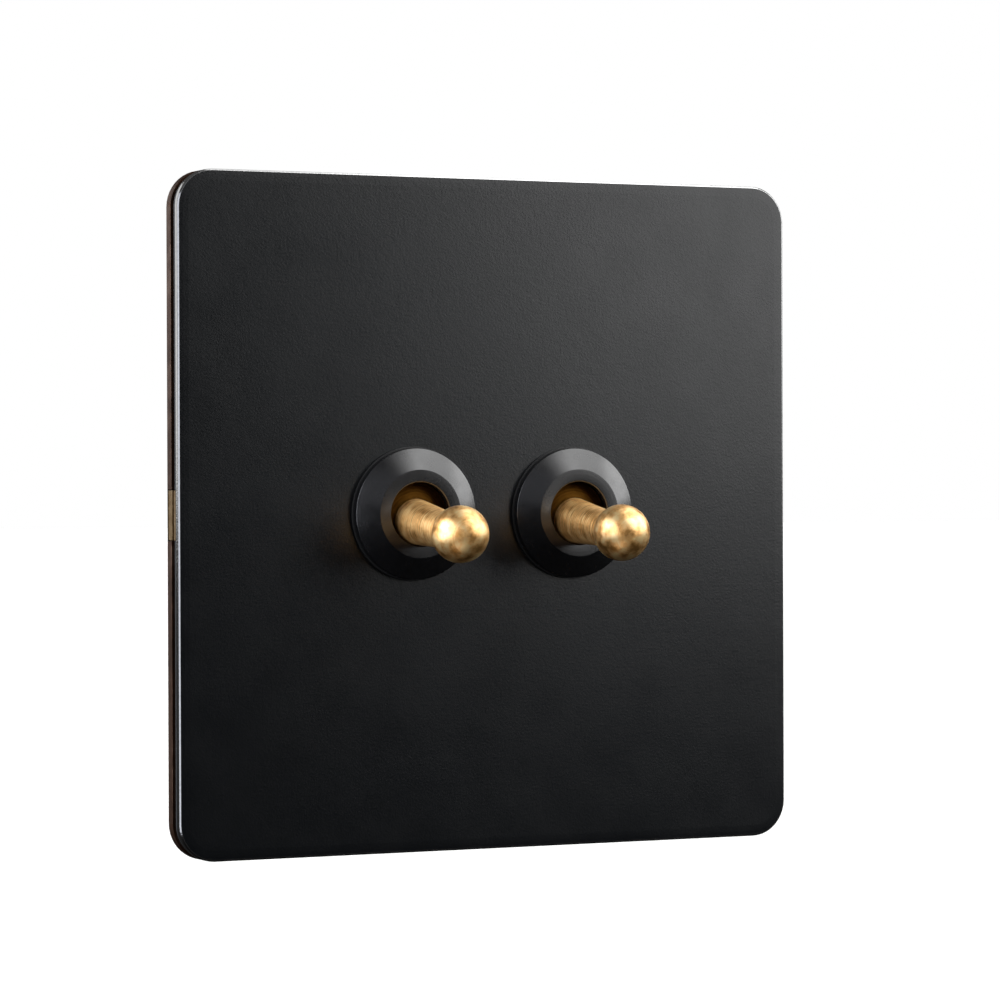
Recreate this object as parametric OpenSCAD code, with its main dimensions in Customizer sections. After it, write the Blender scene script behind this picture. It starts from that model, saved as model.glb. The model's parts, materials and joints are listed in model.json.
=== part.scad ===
// Two-gang toggle wall switch: a square plate without visible screws, and two brass levers with ball
// ends. Each lever rocks a sprung changeover contact in a moulded housing behind the plate.
// Frame of the finished part: X to the right, Z up, the front faces -Y, and the wall plane is y = 0.
// Every sub-part is drawn face up (X right, Y up, Z towards the room) and stood up by stand().

/* [Plate] */
// Width and height of the square front plate
plate_size = 86; // [84:0.5:90]
// Radius of the plate's corners
corner_r = 4.7; // [3:0.1:6]
// Thickness of the front plate
plate_t = 1.1; // [1:0.1:1.6]
// Width of the bevel round the front plate's face
plate_bevel = 0.18; // [0.1:0.02:0.4]
// Thickness of the insulating liner behind the front plate
liner_t = 1.4; // [1.2:0.1:2]
// Thickness of the metal base frame that lies on the wall
frame_t = 1.7; // [1.6:0.1:2.4]
// Width of the brass clips at the middle of the plate's sides
clip_w = 6.2; // [5:0.2:8]

/* [Fixing] */
// Distance between the centres of the two fixing slots
fixing_pitch = 60.3; // [60:0.1:61]
// Width of a fixing slot
slot_w = 4.4; // [4.2:0.1:4.8]
// Length of a fixing slot from end to end
slot_l = 8; // [7:0.5:8.5]

/* [Levers] */
// Distance between the two levers
lever_pitch = 22.5; // [22:0.1:23]
// Lean of a lever from the plate's normal at either end of its travel, in degrees
lever_lean = 6.25; // [5.5:0.05:6.3]
// Radius of the ball at the end of a lever
ball_r = 3.58; // [3:0.05:4]
// Distance from a lever's pivot to the centre of its ball
ball_reach = 22.3; // [20:0.1:24]
// Radius of the stick where it leaves the shield
stick_root_r = 2.9; // [2.6:0.05:2.9]
// Radius of the stick where it meets the ball
stick_neck_r = 2.2; // [1.8:0.05:2.4]
// Depth of the levers' pivots behind the plate's face
pivot_depth = 8; // [8:0.1:8.4]

/* [Collars] */
// Radius of a collar where it lies on the plate
collar_r = 8.32; // [8.2:0.02:8.8]
// Radius of the flat ring at a collar's front
collar_face_r = 5.6; // [5.3:0.05:6]
// Radius of the hole that a lever comes out of
collar_bore_r = 4.05; // [4.05:0.05:4.4]
// Height of a collar in front of the plate
collar_h = 2.47; // [2.4:0.01:2.6]
// Height of a collar's straight side before its cone begins
collar_side_h = 1.13; // [0.9:0.01:1.3]

/* [Housing] */
// Width of the housing behind the plate
housing_w = 48; // [47:0.5:49]
// Height of the housing behind the plate
housing_h = 46; // [46:0.5:48]
// Thickness of the housing's side walls
wall_t = 1.6; // [1.4:0.1:1.8]
// Thickness of the housing's floor
floor_t = 2.5; // [2:0.1:3]
// Radius of the hole that holds a wire in a terminal
wire_bore_r = 1.6; // [1.5:0.05:1.8]

/* [Hidden] */

$fn = 96;
eps = 0.01;

// The stack of plates, as heights in front of the wall plane.
front_w = frame_t + liner_t + plate_t;
liner_step_inset = 0.15;
liner_groove_inset = 0.6;
liner_groove_t = liner_t / 2;
frame_bevel = 0.3;
pocket_d = 0.5;
pocket_gap = 0.3;
support_t = 1.2;
support_w = 49;
support_h = 66;
support_corner_r = 3;
support_back = pocket_d - support_t;
hole_gap = 0.1;

// Screw head recesses round the fixing slots.
head_pocket_r = 4.7;
head_pocket_l = slot_l + 2 * head_pocket_r - slot_w;
head_pocket_d = 0.9;

// Screws of the base frame and of the housing.
frame_screw_u = 12;
frame_screw_v = 29;
frame_screw_r = 1.5;
frame_screw_end = 1.6;
frame_screw_point = 0.4;
frame_head_r = 2.7;
frame_head_h = 1.2;
housing_screw_r = 1.25;
housing_screw_l = 11;
housing_screw_point = 1.2;
housing_head_r = 2.3;
housing_head_h = frame_t - pocket_d - hole_gap;
recess_w = 0.6;
recess_d = 0.7;

// Side clips.
clip_gap = 0.1;
clip_t = 0.6;
clip_notch_d = 0.8;
clip_floor = 0.3;
clip_leg_l = 3;
clip_leg_t = 0.5;
clip_groove_d = 0.35;

// Collars and their washers.
collar_edge = 0.08;
collar_lip = 0.2;
washer_r = collar_r + 0.18;
washer_t = 0.25;

// Bushings.
bushing_r = 7;
bushing_bore_r = 6.1;
bushing_top = front_w + 1.3;
bushing_bevel = 0.3;
collar_step_h = bushing_top - front_w + 0.2;
flange_r = 9;
flange_t = 1;
thread_pitch = 0.75;
thread_depth = 0.25;
thread_turns = 6;
thread_top = bushing_top - 0.2;
part_gap = 0.05;

// Levers, measured from their pivots.
pivot_w = front_w - pivot_depth;
shield_r = 9.3;
shield_t = 1;
shield_edge_r = 5;
barrel_r = 2.2;
barrel_l = 10.6;
pin_r = 0.9;
pin_l = 2 * bushing_r - 0.4;
pin_gap = 0.05;
boss_r = 2.8;
tang_r = 2;
tang_end = 5;
skirt_back = pivot_w - 2.5;

// Carrier, plunger and spring, measured from the pivot.
carrier_r = 3.6;
carrier_start = 2.9;
carrier_end = 11;
flute_r = 1.2;
flute_out = 0.6;
plunger_bore_start = 5.8;
plunger_r = 1.5;
plunger_start = 8.6;
plunger_reach = 13.5;
plunger_pilot_r = 0.7;
plunger_pilot_l = 1.2;
spring_wire_r = 0.18;
spring_coil_r = 1.12;
spring_turns = 5;
spring_gap = 0.02;
spring_steps = 16;
spring_sides = 6;

// Rocker, which turns against the lever.
rocker_lean = 1.6 * lever_lean;
rocker_depth = 16;
rocker_w = pivot_w - rocker_depth;
rocker_front = 0.9;
rocker_back = 0.1;
rocker_half_w = 2.5;
rocker_arm = 9;
trunnion_r = 0.7;
trunnion_l = 8;
tip_r = 1.5;
tip_t = 0.6;

// Fixed contacts and terminals.
strip_t = 0.8;
contact_gap = 0.03;
contact_over = 2.2;
contact_bar_h = 2.6;
contact_bar_l = 2;
dome_r = 4;
tip_face = rocker_back + tip_t;
dome_v = rocker_arm * cos(rocker_lean) - (tip_face + dome_r + contact_gap) * sin(rocker_lean);
dome_w = rocker_w - rocker_arm * sin(rocker_lean) - (tip_face + dome_r + contact_gap) * cos(rocker_lean);
dome_h = 0.7;
strip_front = dome_w + dome_r - dome_h;
strip_back = strip_front - strip_t;
block_w = 6;
block_h = 6.5;
block_l = 8;
block_v = 14;
block_u = 4.9;
block_back = strip_back - 3.6;
block_front = block_back + block_l;
screw_w = (block_front + block_back) / 2;
screw_r = 1.4;
screw_head_r = 2.4;
screw_head_h = 1.6;
screw_head_bevel = 0.3;
screw_slot = 0.8;
saddle_ear_u = 2.85;
saddle_ear_t = 0.8;
saddle_ear_top = rocker_w + 0.5;
saddle_half_h = 2;
riser_u = 4.5;
riser_w = 3;

// Housing and its lid.
lid_back = -3.7;
floor_front = block_back;
housing_back = floor_front - floor_t;
housing_corner_r = 2;
partition_t = 1.6;
post_u = housing_w / 2 - 2.4;
post_v = 10;
post_r = 2.3;
post_l = 14;
post_floor = 1.5;
wire_entry_r = 2.1;
wire_entry_bevel = 0.8;
access_r = 2.8;
rib_w = 1;
rib_h = 1;
rib_v = 11.5;
rib_inset = 3;
strip_rib_half_w = 2;
strip_rib_half_h = 1.5;

// Earth terminal under the housing.
earth_v = -28;
earth_block_w = 7;
earth_back = support_back - block_l;
rivet_r = 1.5;
rivet_head_h = 1;

function gang(side) = side * lever_pitch / 2;

// Turns a part drawn face up into its place on the wall.
module stand() rotate([90, 0, 0]) children();

// Moves a part drawn from a lever's pivot, with Z along the lever, to a lever that leans down.
module on_lever(side) translate([gang(side), 0, pivot_w]) rotate([lever_lean, 0, 0]) children();

// Moves a part drawn from a rocker's pivot to a rocker that leans against its lever.
module on_rocker(side) translate([gang(side), 0, rocker_w]) rotate([-rocker_lean, 0, 0]) children();

// A cylinder along X, centred.
module bar_x(r, l) rotate([0, 90, 0]) cylinder(r = r, h = l, center = true);

// A box given by its two corners.
module block(low, high) translate(low) cube(high - low);

module rounded_square(w, h, r) {
    square([w - 2 * r, h], center = true);
    square([w, h - 2 * r], center = true);
    for (x = [-1, 1], y = [-1, 1])
        translate([x * (w / 2 - r), y * (h / 2 - r)]) circle(r);
}

module rounded_slab(w, h, r, low, high) {
    translate([0, 0, low]) linear_extrude(high - low) rounded_square(w, h, r);
}

// A slot along X, from end to end.
module slot(l, r, low, high) {
    translate([0, 0, low]) linear_extrude(high - low) {
        square([l - 2 * r, 2 * r], center = true);
        for (x = [-1, 1]) translate([x * (l / 2 - r), 0]) circle(r);
    }
}

// A square slab whose upper edges are bevelled all round, corners included.
module bevelled_slab(size, r, t, bevel) {
    section = [
        [-size / 2, 0], [size / 2, 0], [size / 2, t - bevel],
        [size / 2 - bevel, t], [-size / 2 + bevel, t], [-size / 2, t - bevel]
    ];
    for (turn = [0, 90])
        rotate([90, 0, turn]) translate([0, 0, -size / 2 + r]) linear_extrude(size - 2 * r)
            polygon(section);
    for (x = [-1, 1], y = [-1, 1])
        translate([x * (size / 2 - r), y * (size / 2 - r), 0]) rotate_extrude()
            polygon([[0, 0], [r, 0], [r, t - bevel], [r - bevel, t], [0, t]]);
}

// The two holes that the bushings pass through.
module bushing_holes(low, high, r = bushing_r + hole_gap) {
    for (side = [-1, 1]) translate([gang(side), 0, low]) cylinder(r = r, h = high - low);
}

module at_frame_screws() {
    for (x = [-1, 1], y = [-1, 1]) translate([x * frame_screw_u, y * frame_screw_v, 0]) children();
}

module at_housing_screws() {
    for (x = [-post_u, post_u], y = [-post_v, post_v]) translate([x, y, 0]) children();
}

module at_slots() {
    for (x = [-1, 1]) translate([x * fixing_pitch / 2, 0, 0]) children();
}

// A cross recess cut into a screw head from the height top.
module cross_recess(l, top) {
    for (turn = [0, 90]) rotate([0, 0, turn])
        block([-l / 2, -recess_w / 2, top - recess_d], [l / 2, recess_w / 2, top + eps]);
}

// ---- plates ----

module face_plate() stand() color("#1d1d1f") difference() {
    translate([0, 0, front_w - plate_t]) bevelled_slab(plate_size, corner_r, plate_t, plate_bevel);
    bushing_holes(front_w - plate_t - eps, front_w + eps);
}

module plate_liner() stand() color("#141414") difference() {
    groove_size = plate_size - 2 * liner_groove_inset;
    step_size = plate_size - 2 * liner_step_inset;
    union() {
        rounded_slab(groove_size, groove_size, corner_r - liner_groove_inset,
            frame_t, frame_t + liner_groove_t);
        rounded_slab(step_size, step_size, corner_r - liner_step_inset,
            frame_t + liner_groove_t, frame_t + liner_t);
    }
    bushing_holes(frame_t - eps, frame_t + liner_t + eps);
    at_slots() slot(head_pocket_l, head_pocket_r, frame_t - eps, frame_t + liner_t + eps);
    for (side = [-1, 1])
        clip_notch(side, clip_leg_l + 2 * clip_gap, frame_t - eps, frame_t + liner_t + eps);
}

// The notch in a side edge that takes a clip.
module clip_notch(side, depth, low, high) {
    mirror([side < 0 ? 1 : 0, 0, 0])
        block([plate_size / 2 - depth, -clip_w / 2 - clip_gap, low],
            [plate_size / 2 + 1, clip_w / 2 + clip_gap, high]);
}

module base_frame() stand() color("#6b4a3a") difference() {
    translate([0, 0, frame_t]) mirror([0, 0, 1])
        bevelled_slab(plate_size, corner_r, frame_t, frame_bevel);
    bushing_holes(-eps, frame_t + eps);
    rounded_slab(support_w + 2 * pocket_gap, support_h + 2 * pocket_gap, support_corner_r + pocket_gap,
        -eps, pocket_d);
    at_slots() slot(slot_l, slot_w / 2, -eps, frame_t + eps);
    at_slots() slot(head_pocket_l, head_pocket_r, frame_t - head_pocket_d, frame_t + eps);
    at_frame_screws() {
        translate([0, 0, pocket_d - eps]) cylinder(r = frame_screw_r + hole_gap, h = frame_t);
        translate([0, 0, frame_t - frame_head_h]) cylinder(r1 = frame_screw_r + hole_gap,
            r2 = frame_head_r + hole_gap + eps, h = frame_head_h + eps);
    }
    at_housing_screws() translate([0, 0, pocket_d - eps])
        cylinder(r = housing_head_r + pocket_gap, h = frame_t);
    for (side = [-1, 1]) clip_notch(side, clip_notch_d, clip_floor, frame_t + eps);
}

// A brass clip: a wall in the edge notch, with a groove along it, and a leg on the base frame.
module side_clip(side) {
    low = clip_floor + clip_gap;
    high = frame_t + liner_t - clip_gap;
    outer = plate_size / 2 - clip_gap;
    stand() color("#b08d57") mirror([side < 0 ? 1 : 0, 0, 0]) difference() {
        union() {
            block([outer - clip_t, -clip_w / 2, low], [outer, clip_w / 2, high]);
            block([outer - clip_leg_l, -clip_w / 2, frame_t],
                [outer - clip_t + eps, clip_w / 2, frame_t + clip_leg_t]);
        }
        block([outer - clip_groove_d, -clip_w, frame_t],
            [outer + 1, clip_w, frame_t + liner_groove_t - clip_gap]);
    }
}

module side_clip_left() side_clip(-1);
module side_clip_right() side_clip(1);

module support_plate() stand() color("#b9bcc0") difference() {
    rounded_slab(support_w, support_h, support_corner_r, support_back, pocket_d);
    bushing_holes(support_back - eps, pocket_d + eps, bushing_r + part_gap);
    translate([0, 0, support_back - eps]) {
        at_frame_screws() cylinder(r = frame_screw_r, h = support_t + 2 * eps);
        at_housing_screws() cylinder(r = housing_screw_r + hole_gap, h = support_t + 2 * eps);
        translate([0, earth_v, 0]) cylinder(r = rivet_r, h = support_t + 2 * eps);
    }
}

// Countersunk screws that hold the base frame to the support plate.
module frame_screws() stand() color("#c9c9c9") at_frame_screws() difference() {
    shank_back = support_back - frame_screw_end;
    union() {
        translate([0, 0, frame_t - frame_head_h])
            cylinder(r1 = frame_screw_r, r2 = frame_head_r, h = frame_head_h);
        translate([0, 0, shank_back])
            cylinder(r = frame_screw_r, h = frame_t - frame_head_h - shank_back);
        translate([0, 0, shank_back - frame_screw_point])
            cylinder(r1 = frame_screw_r - frame_screw_point, r2 = frame_screw_r, h = frame_screw_point);
    }
    cross_recess(frame_head_r, frame_t);
}

// Pan head screws through the support plate and the lid into the housing's posts.
module housing_screws() stand() color("#c9c9c9") at_housing_screws() difference() {
    shank_back = lid_back - housing_screw_l;
    union() {
        translate([0, 0, pocket_d])
            cylinder(r1 = housing_head_r, r2 = housing_head_r - 0.4, h = housing_head_h);
        translate([0, 0, shank_back]) cylinder(r = housing_screw_r, h = pocket_d - shank_back + eps);
        translate([0, 0, shank_back - housing_screw_point])
            cylinder(r1 = 0.4 * housing_screw_r, r2 = housing_screw_r, h = housing_screw_point);
    }
    cross_recess(housing_head_r, pocket_d + housing_head_h);
}

// ---- bushings and collars ----

// The outline of a threaded wall, from its lowest thread up.
function thread_outline(low) = [
    for (i = [0 : thread_turns - 1], q = [0, 1])
        [q == 0 ? bushing_r - thread_depth : bushing_r, low + (i + (q + 0.5) / 2) * thread_pitch]
];

module bushing(side) stand() color("#3a2c1a") translate([gang(side), 0, 0]) difference() {
    rotate_extrude() polygon(concat(
        [[bushing_bore_r, skirt_back], [bushing_r, skirt_back]],
        [[bushing_r, support_back - flange_t], [flange_r, support_back - flange_t]],
        [[flange_r, support_back], [bushing_r, support_back]],
        thread_outline(thread_top - thread_turns * thread_pitch),
        [[bushing_r - bushing_bevel, bushing_top], [bushing_bore_r, bushing_top]]
    ));
    translate([0, 0, pivot_w]) bar_x(pin_r, 3 * bushing_r);
}

module bushing_left() bushing(-1);
module bushing_right() bushing(1);

// A ring nut that clamps the front plate: straight side, cone, flat ring and a lip round the bore.
module collar(side) stand() color("#1f1f21") translate([gang(side), 0, front_w]) rotate_extrude() polygon([
    [bushing_r + part_gap, washer_t],
    [collar_r, washer_t],
    [collar_r, collar_side_h - collar_edge],
    [collar_r - collar_edge, collar_side_h + collar_edge / 2],
    [collar_face_r + collar_edge, collar_h - collar_edge / 2],
    [collar_face_r - collar_edge, collar_h],
    [collar_bore_r + collar_lip, collar_h],
    [collar_bore_r, collar_h - collar_lip],
    [collar_bore_r, collar_step_h],
    [bushing_r + part_gap, collar_step_h]
]);

module collar_left() collar(-1);
module collar_right() collar(1);

// A thin washer that keeps the collar off the plate's paint.
module collar_washer(side) stand() color("#161616") translate([gang(side), 0, front_w]) difference() {
    cylinder(r = washer_r, h = washer_t);
    translate([0, 0, -eps]) cylinder(r = bushing_r + hole_gap, h = washer_t + 2 * eps);
}

module collar_washer_left() collar_washer(-1);
module collar_washer_right() collar_washer(1);

module pivot_pin(side) stand() color("#d0d0d0") translate([gang(side), 0, pivot_w]) bar_x(pin_r, pin_l);
module pivot_pin_left() pivot_pin(-1);
module pivot_pin_right() pivot_pin(1);

// ---- levers ----

// A brass lever: ball, tapered stick, domed shield round the pivot, cross barrel and rear tang.
module lever(side) {
    shield_edge = sqrt(shield_r * shield_r - shield_edge_r * shield_edge_r);
    neck = ball_reach - sqrt(ball_r * ball_r - stick_neck_r * stick_neck_r);
    root = shield_r - 0.6;
    stand() color("#c8a25c") on_lever(side) difference() {
        union() {
            translate([0, 0, ball_reach]) sphere(ball_r);
            translate([0, 0, root]) cylinder(r1 = stick_root_r, r2 = stick_neck_r, h = neck - root);
            intersection() {
                difference() {
                    sphere(shield_r);
                    sphere(shield_r - shield_t);
                }
                translate([0, 0, shield_edge]) cylinder(r = shield_r, h = shield_r);
            }
            cylinder(r = boss_r, h = shield_r - shield_t / 2);
            bar_x(barrel_r, barrel_l);
            translate([0, 0, -tang_end]) cylinder(r = tang_r, h = tang_end);
        }
        bar_x(pin_r + pin_gap, 2 * barrel_l);
    }
}

module lever_left() lever(-1);
module lever_right() lever(1);

// A nylon sleeve on the tang, with the plunger's bore in its far end.
module lever_carrier(side) stand() color("#e8e4d8") on_lever(side) difference() {
    translate([0, 0, -carrier_end]) cylinder(r = carrier_r, h = carrier_end - carrier_start);
    translate([0, 0, -tang_end]) cylinder(r = tang_r, h = tang_end);
    translate([0, 0, -carrier_end - eps])
        cylinder(r = plunger_r + part_gap, h = carrier_end - plunger_bore_start + eps);
    for (x = [-1, 1]) translate([x * (carrier_r + flute_out), 0, -carrier_end - eps])
        cylinder(r = flute_r, h = carrier_end - carrier_start + 2 * eps);
}

module lever_carrier_left() lever_carrier(-1);
module lever_carrier_right() lever_carrier(1);

module plunger(side) stand() color("#caa760") on_lever(side) {
    translate([0, 0, -plunger_reach]) sphere(plunger_r);
    translate([0, 0, -plunger_reach]) cylinder(r = plunger_r, h = plunger_reach - plunger_start);
    translate([0, 0, -plunger_start - eps]) cylinder(r = plunger_pilot_r, h = plunger_pilot_l);
}

module plunger_left() plunger(-1);
module plunger_right() plunger(1);

// A round wire wound along Z between two heights, with flat ends.
module coil(low, high, coil_r, wire_r, turns, steps, sides) {
    rings = turns * steps;
    function ring(i, k) = let(
        a = 360 * i / steps,
        b = 360 * k / sides,
        r = coil_r + wire_r * cos(b)
    ) [r * cos(a), r * sin(a), low + (high - low) * i / rings + wire_r * sin(b)];
    points = [for (i = [0 : rings], k = [0 : sides - 1]) ring(i, k)];
    start = [for (k = [0 : sides - 1]) k];
    end = [for (k = [sides - 1 : -1 : 0]) rings * sides + k];
    walls = [
        for (i = [0 : rings - 1], k = [0 : sides - 1]) let(n = (k + 1) % sides)
            [i * sides + k, (i + 1) * sides + k, (i + 1) * sides + n, i * sides + n]
    ];
    polyhedron(points, concat([start, end], walls));
}

module plunger_spring(side) stand() color("#dcdcdc") on_lever(side)
    coil(-plunger_start + spring_wire_r + spring_gap,
        -plunger_bore_start - spring_wire_r - spring_gap,
        spring_coil_r, spring_wire_r, spring_turns, spring_steps, spring_sides);

module plunger_spring_left() plunger_spring(-1);
module plunger_spring_right() plunger_spring(1);

// ---- changeover contacts ----

// The rocking contact arm, with round ends and two trunnions.
module rocker(side) stand() color("#c89a4e") on_rocker(side) {
    translate([0, 0, -rocker_back]) linear_extrude(rocker_front + rocker_back) {
        square([2 * rocker_half_w, 2 * rocker_arm], center = true);
        for (y = [-1, 1]) translate([0, y * rocker_arm]) circle(rocker_half_w);
    }
    bar_x(trunnion_r, trunnion_l);
}

module rocker_left() rocker(-1);
module rocker_right() rocker(1);

module moving_tips(side) stand() color("#e4e4e8") on_rocker(side)
    for (y = [-1, 1]) translate([0, y * rocker_arm, -tip_face]) cylinder(r = tip_r, h = tip_t);

module moving_tips_left() moving_tips(-1);
module moving_tips_right() moving_tips(1);

// The forked bearing that the rocker's trunnions lie in, with its strip up to the common terminal.
module common_saddle(side) {
    ear_out = saddle_ear_u + saddle_ear_t;
    stand() color("#caa24f") translate([gang(side), 0, 0]) {
        difference() {
            union() {
                for (x = [0, 1]) mirror([x, 0, 0])
                    block([saddle_ear_u, -saddle_half_h, strip_back],
                        [ear_out, saddle_half_h, saddle_ear_top]);
                block([-ear_out, -saddle_half_h, strip_back],
                    [riser_u + riser_w, saddle_half_h, strip_front]);
            }
            translate([0, 0, rocker_w]) bar_x(trunnion_r + part_gap, 2 * trunnion_l);
            block([-trunnion_l, -trunnion_r - part_gap, rocker_w],
                [trunnion_l, trunnion_r + part_gap, saddle_ear_top + eps]);
        }
        block([riser_u, saddle_half_h - eps, strip_back], [riser_u + riser_w, block_v, strip_front]);
    }
}

module common_saddle_left() common_saddle(-1);
module common_saddle_right() common_saddle(1);

// A fixed contact strip from under the rocker's end to its terminal.
module upper_contact(side) stand() color("#caa24f") translate([gang(side), 0, 0]) {
    block([-rocker_half_w, dome_v - contact_over, strip_back], [rocker_half_w, block_v, strip_front]);
    block([-block_u - contact_bar_l, block_v - contact_bar_h, strip_back],
        [-rocker_half_w + eps, block_v, strip_front]);
}

module lower_contact(side) stand() color("#caa24f") translate([gang(side), 0, 0])
    block([-rocker_half_w, -block_v, strip_back], [rocker_half_w, contact_over - dome_v, strip_front]);

module upper_contact_left() upper_contact(-1);
module upper_contact_right() upper_contact(1);
module lower_contact_left() lower_contact(-1);
module lower_contact_right() lower_contact(1);

// Domed silver tips, under both ends of a rocker.
module fixed_tips(side) stand() color("#e4e4e8") translate([gang(side), 0, 0])
    for (y = [-1, 1]) translate([0, y * dome_v, 0]) intersection() {
        translate([0, 0, dome_w]) sphere(dome_r);
        translate([0, 0, strip_front]) cylinder(r = tip_r, h = dome_r);
    }

module fixed_tips_left() fixed_tips(-1);
module fixed_tips_right() fixed_tips(1);

// ---- terminals ----

// A brass block with a wire hole from the back and a threaded hole for its clamp screw.
// It is drawn with its inner face at y = 0, and its screw comes in from above.
module terminal_block(w, back, front) difference() {
    block([-w / 2, 0, back], [w / 2, block_h, front]);
    translate([0, block_h / 2, back - eps]) cylinder(r = wire_bore_r, h = front - back + 2 * eps);
    translate([0, block_h / 2, (back + front) / 2]) rotate([-90, 0, 0])
        cylinder(r = screw_r, h = block_h);
}

// A clamp screw whose tip stops clear of the wire hole, drawn like its block.
module clamp_screw(back, front) translate([0, 0, (back + front) / 2]) rotate([-90, 0, 0]) difference() {
    union() {
        translate([0, 0, block_h / 2 + wire_bore_r + hole_gap])
            cylinder(r = screw_r, h = block_h / 2 - wire_bore_r - hole_gap + eps);
        translate([0, 0, block_h]) cylinder(r = screw_head_r, h = screw_head_h - screw_head_bevel);
        translate([0, 0, block_h + screw_head_h - screw_head_bevel])
            cylinder(r1 = screw_head_r, r2 = screw_head_r - screw_head_bevel, h = screw_head_bevel);
    }
    block([-screw_head_r - 1, -screw_slot / 2, block_h + screw_head_h - screw_slot],
        [screw_head_r + 1, screw_slot / 2, block_h + screw_head_h + eps]);
}

// Places a terminal part of one gang: which is "upper", "common" or "lower".
module at_terminal(side, which) {
    x = which == "upper" ? -block_u : which == "common" ? block_u : 0;
    translate([gang(side) + x, 0, 0]) mirror([0, which == "lower" ? 1 : 0, 0])
        translate([0, block_v, 0]) children();
}

module terminal(side, which) stand() color("#c9a356") at_terminal(side, which)
    terminal_block(block_w, block_back, block_front);

module upper_terminal_left() terminal(-1, "upper");
module upper_terminal_right() terminal(1, "upper");
module lower_terminal_left() terminal(-1, "lower");
module lower_terminal_right() terminal(1, "lower");
module common_terminal_left() terminal(-1, "common");
module common_terminal_right() terminal(1, "common");

module terminal_screws(side) stand() color("#d8d4c8")
    for (which = ["upper", "common", "lower"]) at_terminal(side, which)
        clamp_screw(block_back, block_front);

module terminal_screws_left() terminal_screws(-1);
module terminal_screws_right() terminal_screws(1);

// Places the earth terminal's parts, with the screw coming from below.
module at_earth() translate([0, earth_v + block_h / 2, 0]) mirror([0, 1, 0]) children();

// The earth terminal is riveted to the back of the support plate.
module earth_terminal() stand() color("#c9a356") {
    at_earth() terminal_block(earth_block_w, earth_back, support_back);
    translate([0, earth_v, support_back - eps]) cylinder(r = rivet_r, h = support_t + eps);
    translate([0, earth_v, support_back - rivet_head_h]) cylinder(r = wire_bore_r, h = rivet_head_h);
}

module earth_screw() stand() color("#6f9a4e") at_earth() clamp_screw(earth_back, support_back);

// ---- housing ----

module housing_lid() stand() color("#dedad0") difference() {
    rounded_slab(housing_w, housing_h, housing_corner_r, lid_back, support_back);
    bushing_holes(lid_back - eps, support_back + eps, bushing_r + part_gap);
    bushing_holes(support_back - flange_t - part_gap, support_back + eps, flange_r + part_gap);
    at_housing_screws() translate([0, 0, lid_back - eps])
        cylinder(r = housing_screw_r + hole_gap, h = support_back - lid_back + 2 * eps);
}

// Ribs under the contact strips, drawn in one gang's place.
module strip_ribs() {
    for (y = [-1, 0, 1])
        translate([0, y * (dome_v + 1), 0])
            block([-strip_rib_half_w, -strip_rib_half_h, floor_front - eps],
                [strip_rib_half_w, strip_rib_half_h, strip_back]);
}

// Ribs on the housing's back, that keep the wires apart.
module rear_ribs(reach) {
    low = housing_back - rib_h;
    high = housing_back + eps;
    end = housing_w / 2 - rib_inset;
    for (y = [-1, 1])
        block([-end, y * rib_v - rib_w / 2, low], [end, y * rib_v + rib_w / 2, high]);
    for (x = [-gang(1), 0, gang(1)])
        block([x - rib_w / 2, rib_v, low], [x + rib_w / 2, reach, high]);
    block([-rib_w / 2, -reach, low], [rib_w / 2, -rib_v, high]);
}

module housing() stand() color("#dedad0") {
    inner_w = housing_w / 2 - wall_t;
    inner_h = housing_h / 2 - wall_t;
    difference() {
        union() {
            difference() {
                rounded_slab(housing_w, housing_h, housing_corner_r, housing_back, lid_back);
                block([-inner_w, -inner_h, floor_front], [inner_w, inner_h, lid_back + eps]);
            }
            block([-partition_t / 2, -inner_h - eps, floor_front - eps],
                [partition_t / 2, inner_h + eps, lid_back]);
            for (side = [-1, 1]) translate([gang(side), 0, 0]) strip_ribs();
            at_housing_screws() translate([0, 0, lid_back - post_l]) cylinder(r = post_r, h = post_l);
            rear_ribs(inner_h);
        }
        at_housing_screws() translate([0, 0, lid_back - post_l + post_floor])
            cylinder(r = housing_screw_r, h = post_l);
        for (side = [-1, 1], which = ["upper", "common", "lower"]) at_terminal(side, which) {
            translate([0, block_h / 2, housing_back - rib_h - eps])
                cylinder(r = wire_entry_r, h = floor_t + rib_h + 2 * eps);
            translate([0, block_h / 2, housing_back - eps])
                cylinder(r1 = wire_entry_r + wire_entry_bevel, r2 = wire_entry_r, h = wire_entry_bevel);
            translate([0, block_h, screw_w]) rotate([-90, 0, 0]) cylinder(r = access_r, h = housing_h);
        }
    }
}

face_plate();
plate_liner();
base_frame();
side_clip_left();
side_clip_right();
frame_screws();
support_plate();
housing_screws();
bushing_left();
bushing_right();
collar_left();
collar_right();
collar_washer_left();
collar_washer_right();
pivot_pin_left();
pivot_pin_right();
lever_left();
lever_right();
lever_carrier_left();
lever_carrier_right();
plunger_left();
plunger_right();
plunger_spring_left();
plunger_spring_right();
rocker_left();
rocker_right();
moving_tips_left();
moving_tips_right();
common_saddle_left();
common_saddle_right();
upper_contact_left();
upper_contact_right();
lower_contact_left();
lower_contact_right();
fixed_tips_left();
fixed_tips_right();
upper_terminal_left();
upper_terminal_right();
lower_terminal_left();
lower_terminal_right();
common_terminal_left();
common_terminal_right();
terminal_screws_left();
terminal_screws_right();
housing_lid();
housing();
earth_terminal();
earth_screw();
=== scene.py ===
"""The looks of the two-gang toggle wall switch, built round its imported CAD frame.

Everything is in metres in the frame's own axes: +X to the right, +Z up, the front faces -Y and the wall
plane is y = 0. Outlines of turned pieces are written in millimetres and scaled by MM.
"""
import json
import math

import bmesh
import bpy
from mathutils import Matrix, Quaternion, Vector


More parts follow.
